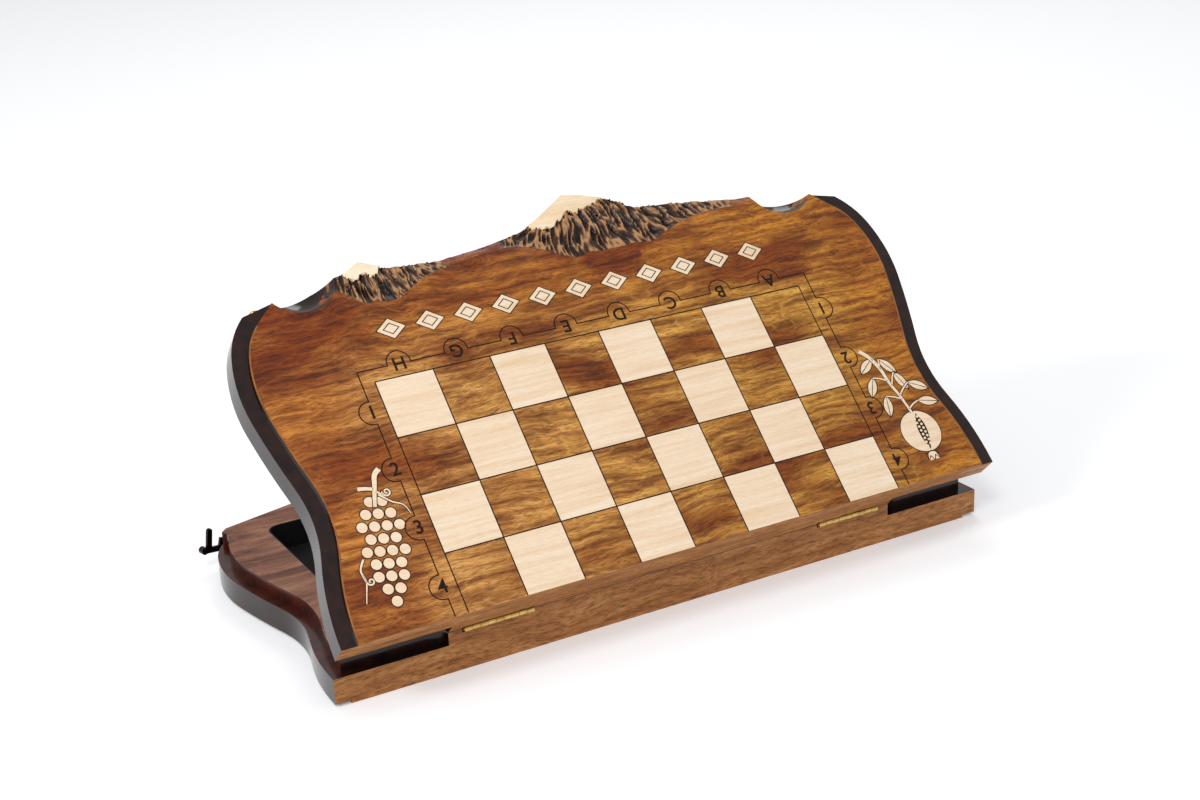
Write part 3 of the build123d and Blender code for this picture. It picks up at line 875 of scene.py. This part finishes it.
@dataclass
class Ridge:
    """The mountain ridge carved along the rear of a half."""

    main_x: float = 23.0
    main_reach: float = 52.0
    main_apex: float = 378.0
    small_x: float = -174.0
    small_reach: float = 31.0
    small_apex: float = 338.0
    valley_x: float = -95.0
    edge_drop: float = 3.0
    groove: float = 3.4
    round_over: float = 7.0
    half_length: float = 214.0
    front: float = 262.0
    rear: float = 337.0
    outside: float = -6.0
    step: float = 1.0

    def crest_y(self, x: Array) -> Array:
        """Height of the ridge's outline at x."""
        return np.interp(x, RIDGE[:, 0], RIDGE[:, 1])

    def bell(self, x: Array, centre: float, height: float, left: float, right: float) -> Array:
        """A bell under a peak, with its own width on each side."""
        return height * np.exp(-(((x - centre) / np.where(x < centre, left, right)) ** 2))

    def reach(self, x: Array) -> Array:
        """How far down from the outline the carving runs: the deeper of the two bells."""
        main = self.bell(x, self.main_x, self.main_reach, 40.0, 85.0)
        small = self.bell(x, self.small_x, self.small_reach, 22.0, 42.0)
        return np.maximum(main, small) + self.round_over

    def strokes(self, x: Array, y: Array) -> Array:
        """Chisel strokes that fan out from above each peak.

        A noise is read at each place's angle and distance from the apex, so that its marks are
        drawn out along rays. Folded about its middle value, it gives narrow crests.

        Args:
            x: Flat X of the places.
            y: Flat Y.

        Returns:
            1 on a crest, 0 in a cut.
        """
        rays = []
        for apex_x, apex_y, seed in ((self.main_x, self.main_apex, 3), (self.small_x, self.small_apex, 5)):
            angle = np.arctan2(x - apex_x, apex_y - y)
            far = np.hypot(x - apex_x, y - apex_y)
            bend = 0.6 * value_noise(angle * 3 + 7, far / 25, seed + 10)
            noise = value_noise(angle * far / 5.2 + angle * 6 + bend * 5 + 20, far / 15 + 5, seed)
            fine = value_noise(angle * 46 + bend * 8 + 30, far / 9 + 9, seed + 20)
            rays.append((1 - np.abs(2 * (0.65 * noise + 0.35 * fine) - 1)) ** 1.9)
        share = 1 / (1 + np.exp((x - self.valley_x) / 6))
        return rays[1] * share + rays[0] * (1 - share)

    def snow(self, x: Array, y: Array) -> Array:
        """Where the top of a peak is left bare: 1 inside, 0 outside, with a ragged lower edge."""
        below = self.crest_y(x) - y
        main = 19 * np.exp(-(((x - 19) / 32) ** 4))
        small = 14 * np.exp(-(((x - self.small_x) / 15) ** 4))
        ragged = 5 * (value_noise(x / 3 + 40, y / 9, 31) - 0.5)
        return (below < np.maximum(main, small) - 1.5 + ragged).astype(float)

    def rock(self, x: Array) -> Array:
        """How far a place is chiselled: 1 under the peaks, 0 on the plain rounded edge."""
        return np.clip((self.reach(x) - self.round_over) / 8, 0, 1)

    def depth(self, x: Array, y: Array) -> Array:
        """Depth of the carving: it sinks from its lower limit to the outline, cut by strokes."""
        reach = self.reach(x)
        share = (y - self.crest_y(x) + reach) / reach
        slope = self.edge_drop * np.clip(share, 0, 1.6) ** 1.4
        cut = self.groove * (1 - self.strokes(x, y)) * np.clip(share * 5, 0, 1) * self.rock(x)
        cut = cut * (1 - self.snow(x, y))
        bare = 0.5 * self.snow(x, y)
        return np.where(share > 0, slope + cut - bare, np.maximum(share * 8, -0.8))

    def cutter(self) -> bpy.types.Object:
        """A closed volume to cut away: the carving's height field over a flat floor."""
        xs = np.arange(-self.half_length, self.half_length + self.step, self.step)
        ys = np.arange(self.front, self.rear, self.step)
        x, y = np.meshgrid(xs, ys, indexing="ij")
        top = np.stack([x, y, self.depth(x, y)], -1).reshape(-1, 3)
        foot = np.stack([x, y, np.full_like(x, self.outside)], -1).reshape(-1, 3)
        nx, ny = x.shape
        index = np.arange(nx * ny).reshape(nx, ny)
        quads = np.stack([index[:-1, :-1], index[1:, :-1], index[1:, 1:], index[:-1, 1:]], -1).reshape(-1, 4)
        low = quads[:, ::-1] + nx * ny
        rim = np.concatenate([index[:-1, 0], index[-1, :-1], index[:0:-1, -1], index[0, :0:-1]])
        after = np.roll(rim, -1)
        walls = np.stack([after, rim, rim + nx * ny, after + nx * ny], -1)
        mesh = bpy.data.meshes.new("ridge_cutter")
        mesh.from_pydata(np.vstack([top, foot]).tolist(), [], np.vstack([quads, low, walls]).tolist())
        cutter = bpy.data.objects.new("ridge_cutter", mesh)
        bpy.context.scene.collection.objects.link(cutter)
        return cutter


class BoardFace(Enum):
    """The kinds of surface on a half, in the order of their material numbers."""

    PLAYING = 0
    MOULDING = 1
    REBATE = 2
    FOLD = 3
    INNER = 4
    ROCK = 5
    SNOW = 6


BOARD_FINISHES = [FACE_BEECH, EDGE_LACQUER, REBATE_LACQUER, FOLD_BEECH, INNER_BEECH, CARVED_ROCK, SNOW]


@dataclass
class CarvedHalf:
    """One half of the case with its ridge carved and each surface given its finish."""

    half: Half
    node: str
    ridge: Ridge = field(default_factory=Ridge)
    merge: float = 0.002
    loose: float = 0.1
    flat: float = 0.02
    square_on: float = 0.99
    upright: float = 0.2
    slope: float = 0.12
    cut_floor: float = 14.0
    wall_top: float = 13.0
    wall_reach: float = 3.0
    rebate_reach: float = 24.0
    scoops_from: float = 281.0
    sharp_from: float = math.radians(32)

    def flat_copy(self, source: bpy.types.Object) -> bpy.types.Mesh:
        """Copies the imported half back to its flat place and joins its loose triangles.

        Args:
            source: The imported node.

        Returns:
            The mesh in flat millimetres.
        """
        import bmesh

        mesh = source.data.copy()
        for name in ("custom_normal", "sharp_edge", "sharp_face"):
            stored = mesh.attributes.get(name)
            if stored:
                mesh.attributes.remove(stored)
        mesh.transform(self.half.matrix().inverted())
        if self.half is Half.UPPER:
            mesh.flip_normals()
        work = bmesh.new()
        work.from_mesh(mesh)
        bmesh.ops.remove_doubles(work, verts=work.verts, dist=self.merge)
        work.to_mesh(mesh)
        work.free()
        mesh.materials.clear()
        return mesh

    def carve(self, mesh: bpy.types.Mesh) -> bpy.types.Mesh:
        """Cuts the ridge out of the flat half.

        Args:
            mesh: The flat half.

        Returns:
            The carved mesh, or the plain one where the cut fails.
        """
        body = bpy.data.objects.new("flat_half", mesh)
        bpy.context.scene.collection.objects.link(body)
        cutter = self.ridge.cutter()
        cut = body.modifiers.new("carve", "BOOLEAN")
        cut.operation, cut.solver, cut.object = "DIFFERENCE", "EXACT", cutter
        bpy.context.view_layer.update()
        graph = bpy.context.evaluated_depsgraph_get()
        carved = bpy.data.meshes.new_from_object(body.evaluated_get(graph))
        bpy.data.objects.remove(body)
        bpy.data.objects.remove(cutter)
        before, after = len(mesh.polygons), len(carved.polygons)
        LOG.info("%s: %d faces before the carving, %d after", self.node, before, after)
        return carved if after > before else mesh

    def sort_faces(self, mesh: bpy.types.Mesh) -> None:
        """Gives each face its kind, from where it is and where it points.

        Args:
            mesh: The flat half.
        """
        count = len(mesh.polygons)
        centre, normal = np.zeros(count * 3), np.zeros(count * 3)
        mesh.polygons.foreach_get("center", centre)
        mesh.polygons.foreach_get("normal", normal)
        x, y, z = centre.reshape(-1, 3).T
        _, ny, nz = normal.reshape(-1, 3).T
        side = np.vstack([side_line(0), side_line(0) * (-1, 1)])
        from_side = np.min(np.hypot(x[:, None] - side[None, :, 0], y[:, None] - side[None, :, 1]), axis=1)
        below_inner = z < THICKNESS - self.loose
        kind = np.full(count, BoardFace.MOULDING.value)
        kind[(z < self.flat) & (nz < -self.square_on)] = BoardFace.PLAYING.value
        kind[(nz > self.square_on) & (z > THICKNESS - self.loose)] = BoardFace.INNER.value
        kind[(ny < -self.square_on) & (y < self.loose)] = BoardFace.FOLD.value
        rebated = (z > REBATE_FLOOR - self.loose) & below_inner
        kind[rebated & (from_side < self.rebate_reach)] = BoardFace.REBATE.value
        wall = (from_side < self.wall_reach) & (np.abs(nz) < self.upright)
        kind[wall & (z > self.wall_top) & (z < REBATE_FLOOR + self.loose)] = BoardFace.MOULDING.value
        ridge = self.ridge
        sloping = (nz < -self.slope) & (z > self.flat) & (z < self.cut_floor)
        inside = (y > ridge.front) & (np.abs(x) < ridge.half_length - 1)
        inside &= ridge.crest_y(x) - y < ridge.reach(x) + 2
        carved = inside & sloping
        kind[carved] = BoardFace.ROCK.value
        kind[carved & (ridge.snow(x, y) > 0.5)] = BoardFace.SNOW.value
        kind[carved & (ridge.rock(x) < 0.25)] = BoardFace.PLAYING.value
        kind[sloping & ~carved & (y > self.scoops_from)] = BoardFace.PLAYING.value
        mesh.polygons.foreach_set("material_index", kind.astype(np.int32))
        points = np.zeros(len(mesh.vertices) * 3)
        mesh.vertices.foreach_get("co", points)
        px, py, _ = points.reshape(-1, 3).T
        # Painted shade: this crest value darkens the carving's cuts in the rock finish
        crest = mesh.attributes.new("crest", "FLOAT", "POINT")
        crest.data.foreach_set("value", (self.ridge.strokes(px, py) * 0.9).astype(np.float32))
        mesh.polygons.foreach_set("use_smooth", np.ones(count, bool))
        mesh.set_sharp_from_angle(angle=self.sharp_from)

    def build(self, source: bpy.types.Object) -> bpy.types.Object:
        """Makes the dressed half and lets it stand for its node.

        Args:
            source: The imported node.

        Returns:
            The object.
        """
        mesh = self.carve(self.flat_copy(source))
        mesh.name = f"carved_{self.node}"
        mesh.materials.clear()
        self.sort_faces(mesh)
        mirrored = self.half is Half.UPPER
        piece = adopt(f"carved_{self.node}", mesh, self.half, BOARD_FINISHES, mirrored)
        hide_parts(self.node)
        return piece


# ---------------------------------------------------------------- lines and inlays


@dataclass
class PlayingFace:
    """The drawn lines of one half: its grid, its border and its coordinates."""

    half: Half
    line: float = 1.0
    border: float = 11.0
    bump: float = 10.0
    bow: float = 0.54 * math.pi
    mark_out: float = 11.5
    mark_size: float = 16.0
    start: float = 0.4
    rim_width: float = 1.3
    rim_inset: float = 0.8
    rim_end: float = 268.0

    def grid(self) -> bpy.types.Object:
        """The grid's lines, each one strip from edge to edge."""
        strips = Strips(self.line)
        for column in range(9):
            x = (column - 4) * SQUARE
            strips.line(np.array([(x, self.start), (x, 4 * SQUARE)]))
        for row in range(1, 5):
            strips.line(np.array([(-4 * SQUARE, row * SQUARE), (4 * SQUARE, row * SQUARE)]))
        return strips.piece(f"grid_lines_{self.half.name.lower()}", self.half, LINE_STAIN, "stained_beech")

    def border_path(self) -> Array:
        """The border round three sides, with an arc of a circle round each coordinate.

        An arc bows outwards, and both of its ends are on the border.
        """
        edge = top = 4 * SQUARE + self.border
        bow = np.linspace(-self.bow, self.bow, 16)
        middle = self.bump * math.cos(self.bow)
        rows = [np.array([(-edge, self.start)])]
        for row in range(4):
            y = (row + 0.5) * SQUARE
            rows.append(np.c_[-edge + middle - self.bump * np.cos(bow), y + self.bump * np.sin(bow)])
        rows.append(np.array([(-edge, top)]))
        for column in range(8):
            x = (column - 3.5) * SQUARE
            rows.append(np.c_[x + self.bump * np.sin(bow), top - middle + self.bump * np.cos(bow)])
        rows.append(np.array([(edge, top)]))
        for row in reversed(range(4)):
            y = (row + 0.5) * SQUARE
            rows.append(np.c_[edge - middle + self.bump * np.cos(bow), y - self.bump * np.sin(bow)])
        rows.append(np.array([(edge, self.start)]))
        return np.vstack(rows)

    def border_line(self) -> bpy.types.Object:
        """The border as one strip."""
        strips = Strips(self.line)
        strips.line(self.border_path())
        return strips.piece(f"border_line_{self.half.name.lower()}", self.half, LINE_STAIN, "stained_beech")

    def marks(self) -> bpy.types.Object:
        """The coordinates: letters along the rear, read from behind, and digits at both sides."""
        upper = self.half is Half.UPPER
        letters = "HGFEDCBA" if upper else "ABCDEFGH"
        digits = "4321" if upper else "5678"
        out = 4 * SQUARE + self.mark_out
        marks = [(letter, (i - 3.5) * SQUARE, out, math.pi) for i, letter in enumerate(letters)]
        for i, digit in enumerate(digits):
            y = (i + 0.5) * SQUARE
            marks += [(digit, -out, y, 0.0), (digit, out, y, math.pi)]
        return lettering(marks, self.mark_size, self.half)

    def worn_rim(self) -> bpy.types.Object:
        """A golden line down each side where the lacquer is rubbed off the face's edge."""
        strips = Strips(self.rim_width, lift=0.03)
        right = side_line(MOULDING_WIDTH)
        right = right[(right[:, 1] > 1) & (right[:, 1] < self.rim_end)] - (self.rim_inset, 0)
        strips.line(right)
        strips.line(right * (-1, 1))
        return strips.piece(f"worn_rims_{self.half.name.lower()}", self.half, WORN_EDGE, "stained_beech")


@dataclass
class FruitInlays:
    """The grape bunch, the pomegranate branch and the lozenge band on the upper half."""

    half: Half = Half.UPPER
    outline: float = 0.75
    grape_radius: float = 4.6
    grape_pitch: float = 9.8
    grape_rows: tuple[int, ...] = (2, 3, 4, 3, 4, 3, 3, 2, 1)
    bunch_top: tuple[float, float] = (-236.0, 104.0)
    bunch_foot: tuple[float, float] = (-249.0, 24.0)
    fruit: tuple[float, float] = (247.0, 43.0)
    fruit_radius: float = 19.5
    lozenges: int = 11
    lozenge_pitch: float = 34.0
    lozenge_y: float = 242.0
    lozenge_reach: tuple[float, float] = (13.0, 9.5)
    crown: tuple[tuple[float, float], ...] = (
        (-5.5, -27),
        (-6.2, -21.5),
        (0, -19),
        (6.2, -21.5),
        (5.5, -27),
        (2.5, -23.5),
        (0, -28),
        (-2.5, -23.5),
    )
    leaf_places: tuple[tuple[float, float, float], ...] = (
        (226, 112, 35),
        (246, 108, 125),
        (222, 92, 60),
        (252, 92, 110),
        (266, 84, 150),
        (228, 72, 75),
        (268, 68, 165),
    )

    def grape_centres(self) -> Array:
        """Centres of the grapes, in rows across the bunch."""
        top, foot = np.array(self.bunch_top), np.array(self.bunch_foot)
        along = (foot - top) / np.linalg.norm(foot - top)
        across = np.array([-along[1], along[0]])
        rows = []
        for row, count in enumerate(self.grape_rows):
            middle = top + (foot - top) * row / (len(self.grape_rows) - 1)
            rows += [middle + across * (i - (count - 1) / 2) * self.grape_pitch for i in range(count)]
        return np.array(rows)

    def stalks(self) -> list[tuple[Array, Array]]:
        """Centre lines and widths of the stalks, twigs and tendrils."""
        top = smooth([(-224, 129), (-229, 125), (-232, 117), (-235, 109), (-238, 100)])
        twig = smooth([(-246, 117), (-240, 116), (-234, 114)])
        curl = np.vstack([smooth([(-233, 112), (-229, 108)]), spiral(-225, 109.5, 3.6, 1.3, math.pi, 1)])
        tail = smooth([(-232, 109), (-224, 101), (-216, 96), (-213, 88)])
        left = smooth([(-262, 62), (-267, 54), (-266, 45), (-269, 36), (-272, 28)])
        left_curl = np.vstack([smooth([(-267, 50), (-266, 44)]), spiral(-262.5, 44, 3.2, 1.2, math.pi, 1)])
        paths = [top, twig, curl, tail, left, left_curl]
        widths = [(4.4, 2.8), (3.2, 2.6), (1.8, 1.2), (1.7, 0.7), (1.8, 0.7), (1.6, 1.1)]
        return [(path, np.linspace(a, b, len(path))) for path, (a, b) in zip(paths, widths)]

    def branch(self) -> list[tuple[Array, Array]]:
        """Centre lines and widths of the pomegranate's branch and leaf stalks."""
        main = smooth([(226, 127), (233, 119), (238, 106), (240, 92), (244, 78), (247, 61)])
        paths, widths = [main], [(4.2, 2.2)]
        for x, y, angle in self.leaf_places:
            near = main[np.argmin(np.hypot(main[:, 0] - x, main[:, 1] - y))]
            turn = math.radians(angle)
            ends = [np.array([x, y]) + s * 9.6 * np.array([math.cos(turn), math.sin(turn)]) for s in (-1, 1)]
            end = min(ends, key=lambda e: np.hypot(*(e - near)))
            paths.append(smooth([tuple(near), tuple((near + end) / 2 + (0, 0.8)), tuple(end)]))
            widths.append((1.6, 1.2))
        return [(path, np.linspace(a, b, len(path))) for path, (a, b) in zip(paths, widths)]

    def leaf(self, x: float, y: float, angle: float) -> Array:
        """Outline of a pointed leaf: two arcs over its length, 21 long and 9 wide."""
        t = np.linspace(-1, 1, 20)
        bow = 4.5 * (1 - t**2)
        loop = np.vstack([np.c_[t * 10.5, bow], np.c_[t[::-1] * 10.5, -bow[::-1]][1:-1]])
        turn = math.radians(angle)
        spin = np.array([[math.cos(turn), math.sin(turn)], [-math.sin(turn), math.cos(turn)]])
        return loop @ spin + (x, y)

    def lines(self) -> bpy.types.Object:
        """All the dark outlines of the fruit."""
        strips = Strips(self.outline, lift=0.07)
        for x, y in self.grape_centres():
            strips.line(circle(x, y, self.grape_radius + 0.05, 28), closed=True)
        strips.line(circle(*self.fruit, self.fruit_radius, 72), closed=True)
        for place in self.leaf_places:
            loop = self.leaf(*place)
            strips.line(loop, closed=True)
            strips.line(np.array([loop[0], loop[19]]), widths=np.array([0.7, 0.4]))
        strips.line(np.array(self.crown) + self.fruit, closed=True)
        lozenge = np.array([(1, 0), (0, 1), (-1, 0), (0, -1)]) * self.lozenge_reach
        for number in range(self.lozenges):
            centre = ((number - (self.lozenges - 1) / 2) * self.lozenge_pitch, self.lozenge_y)
            for scale in (1.0, 0.52):
                strips.line(lozenge * scale + centre, closed=True)
        return strips.piece("inlay_outlines", self.half, LINE_STAIN, "stained_beech")

    def stalk_edges(self) -> bpy.types.Object:
        """Dark edges of the stalks: the same lines, wider, under the pale ones."""
        strips = Strips(1.0, lift=0.05)
        for path, widths in self.stalks() + self.branch():
            strips.line(path, widths=widths + 1.3)
        x, y = self.fruit
        slit = smooth([(x + 3, y + 17), (x + 6.5, y + 6), (x + 5.5, y - 6), (x + 1, y - 18)], 10)
        back = smooth([(x + 1, y - 18), (x - 2, y - 6), (x - 1.5, y + 6), (x + 3, y + 17)], 10)
        strips.area(np.vstack([slit[:-1], back[:-1]]))
        return strips.piece("stalk_edges", self.half, LINE_STAIN, "stained_beech")

    def stalk_fills(self) -> bpy.types.Object:
        """Pale stalks and the seeds in the fruit's slit."""
        strips = Strips(1.0, lift=0.09)
        for path, widths in self.stalks() + self.branch():
            strips.line(path, widths=widths)
        x, y = self.fruit
        for row in range(8):
            level = y + 12.5 - row * 3.7
            middle = x + 2.2 - 0.9 * ((row - 3.5) / 3.5) ** 2
            for side in (-1, 1):
                strips.area(circle(middle + side * 1.75, level + side * 0.9, 1.25, 12))
        return strips.piece("stalk_fills", self.half, PALE_VENEER, "pale_veneer")


# ---------------------------------------------------------------- the studio


@dataclass
class Studio:
    """A pale floor, soft light and the photograph's camera."""

    position: tuple[float, float, float] = (-0.76649, -1.40325, 0.74829)
    right: tuple[float, float, float] = (0.8649, -0.5005, -0.0377)
    down: tuple[float, float, float] = (-0.2121, -0.2965, -0.9312)
    forward: tuple[float, float, float] = (0.4549, 0.8134, -0.3626)
    lens: float = 60.8
    floor_reach: float = 9.0
    glow: float = 0.2
    sky: float = 0.6

    def camera(self) -> None:
        """Sets the camera by its three directions."""
        data = bpy.data.cameras.new("photo_camera")
        data.sensor_width, data.lens, data.sensor_fit = 36.0, self.lens, "HORIZONTAL"
        data.clip_end = 50.0
        camera = bpy.data.objects.new("photo_camera", data)
        columns = np.array([self.right, np.negative(self.down), np.negative(self.forward), self.position])
        camera.matrix_world = Matrix([*columns.T.tolist(), (0, 0, 0, 1)])
        bpy.context.scene.collection.objects.link(camera)
        bpy.context.scene.camera = camera

    def lamp(self, name: str, place: tuple[float, float, float], size: float, power: float) -> None:
        """Adds a square lamp that faces the case.

        Args:
            name: The lamp's name.
            place: Where it hangs.
            size: Its side in metres.
            power: Watts.
        """
        data = bpy.data.lights.new(name, "AREA")
        data.size, data.energy = size, power
        lamp = bpy.data.objects.new(name, data)
        lamp.location = place
        lamp.rotation_euler = (-Vector(place)).to_track_quat("-Z", "Y").to_euler()
        bpy.context.scene.collection.objects.link(lamp)

    def floor(self) -> None:
        """A broad white sheet under the case."""
        mesh = bpy.data.meshes.new("floor")
        far = self.floor_reach
        mesh.from_pydata([(-far, -far, 0), (far, -far, 0), (far, far, 0), (-far, far, 0)], [], [(0, 1, 2, 3)])
        floor = bpy.data.objects.new("floor", mesh)
        bpy.context.scene.collection.objects.link(floor)
        material = bpy.data.materials.new("white_paper_floor")
        material.use_nodes = True
        tree = material.node_tree
        tree.nodes.clear()
        paper = add_node(tree, Kind.PAPER, {"Color": linear("f4f5f8")})
        glow = add_node(tree, Kind.GLOW, {"Color": linear(WHITE), "Strength": self.glow})
        both = add_node(tree, Kind.SUM, {0: paper.outputs[0], 1: glow.outputs[0]})
        add_node(tree, Kind.SURFACE, {"Surface": both.outputs[0]})
        mesh.materials.append(material)

    def world(self) -> None:
        """An even sky, white where the camera sees it."""
        world = bpy.data.worlds.new("studio")
        bpy.context.scene.world = world
        world.use_nodes = True
        tree = world.node_tree
        tree.nodes.clear()
        seen = add_node(tree, Kind.RAY).outputs["Is Camera Ray"]
        strength = add_node(tree, Kind.RANGE, {"Value": seen, "To Min": self.sky, "To Max": 1.0})
        sky = add_node(tree, Kind.SKY, {"Color": linear(WHITE), "Strength": strength.outputs[0]})
        add_node(tree, Kind.WORLD, {"Surface": sky.outputs[0]})

    def build(self) -> None:
        """Sets up the whole studio."""
        bpy.context.scene.view_settings.view_transform = "Standard"
        self.camera()
        self.floor()
        self.world()
        self.lamp("key_lamp", (-1.4, -1.6, 2.4), 0.7, 24.0)
        self.lamp("back_lamp", (1.2, 1.8, 2.2), 1.2, 14.0)
        self.lamp("left_lamp", (-2.2, -0.2, 1.5), 0.5, 18.0)


def dress_node(nodes: dict[str, bpy.types.Object], name: str, finish: Finish, half: Half) -> None:
    """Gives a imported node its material.

    Args:
        nodes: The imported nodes.
        name: Which one.
        finish: Its finish.
        half: Whose faces the pattern lies along.
    """
    mesh = nodes[name].data
    material = PALETTE.get(finish, half)
    if mesh.materials:
        for i in range(len(mesh.materials)):
            mesh.materials[i] = material
    else:
        mesh.materials.append(material)
    LOG.info("%s: %s", name, finish.name)


def finish_of(node: str) -> Finish:
    """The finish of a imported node, from its name."""
    if "squares" in node or "inlay" in node:
        return PALE_VENEER
    if "lining" in node:
        return BLACK_FELT
    if "hook" in node and "screws" not in node and "pivots" not in node:
        return DARK_BRASS
    return POLISHED_BRASS


def main() -> None:
    """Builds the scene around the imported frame, piece by piece."""
    logging.basicConfig(level=logging.INFO, format="%(message)s")
    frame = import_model()
    nodes = frame["nodes"]
    Studio().build()
    for name in sorted(nodes):
        # The hooks belong to the lower half, however high they reach
        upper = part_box(name)[1].z > UPPER_FROM and not name.endswith("_hook")
        if not name.endswith("_board"):
            dress_node(nodes, name, finish_of(name), Half.UPPER if upper else Half.LOWER)
    pieces: list[Callable[[], bpy.types.Object]] = []
    for half, node in ((Half.LOWER, "lower_board"), (Half.UPPER, "upper_board")):
        CarvedHalf(half, node).build(nodes[node])
        face = PlayingFace(half)
        pieces += [face.grid, face.border_line, face.marks, face.worn_rim]
    fruit = FruitInlays()
    pieces += [fruit.stalk_edges, fruit.lines, fruit.stalk_fills]
    for make in pieces:
        piece = make()
        LOG.info("%s: %d faces", piece.name, len(piece.data.polygons))
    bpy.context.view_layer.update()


if __name__ == "__main__":
    main()
